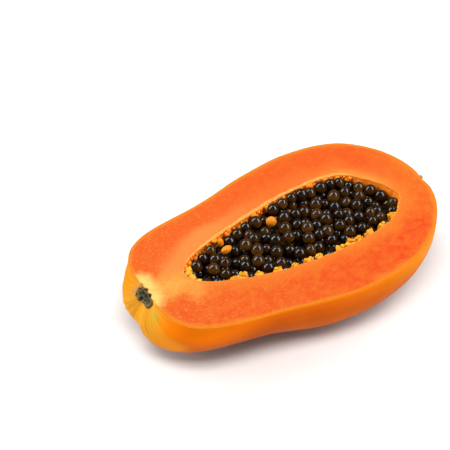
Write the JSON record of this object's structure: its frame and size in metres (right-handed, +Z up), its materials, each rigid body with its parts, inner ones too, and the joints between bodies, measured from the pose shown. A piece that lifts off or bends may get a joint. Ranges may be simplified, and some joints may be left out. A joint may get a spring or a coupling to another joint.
{
  "type": "halved papaya",
  "caption": "Half of a ripe papaya cut lengthwise, lying cut face up, with its orange flesh, a cavity full of dark seeds and the stem scar.",
  "frame": {"origin": "on the ground below the middle of the bounding box", "axes": "+X from the stem end to the blossom end, +Y across the cut face, +Z up, normal to the cut face"},
  "size_m": [0.1705, 0.1055, 0.0488],
  "materials": {
    "flesh": "moist ripe flesh, orange-red and softly mottled, lighter at the skin and the cavity",
    "skin": "thin smooth waxy skin, yellow to orange with fine lengthwise streaks",
    "placenta": "soft spongy lining of the seed cavity, golden yellow, moist",
    "seed": "wet gel coat over a near-black seed, dark olive brown, high gloss",
    "pale_seed": "soft undeveloped seed, pale orange-yellow, slightly glossy",
    "dry_scar": "dry corky stem scar, dark olive brown, rough"
  },
  "bodies": {
    "root": {"fruit_half": "flesh", "seeds": "seed", "pale_seed_1": "pale_seed", "pale_seed_2": "pale_seed", "pale_seed_3": "pale_seed", "stem_scar": "dry_scar", "blossom_scar": "dry_scar"}
  },
  "joints": []
}
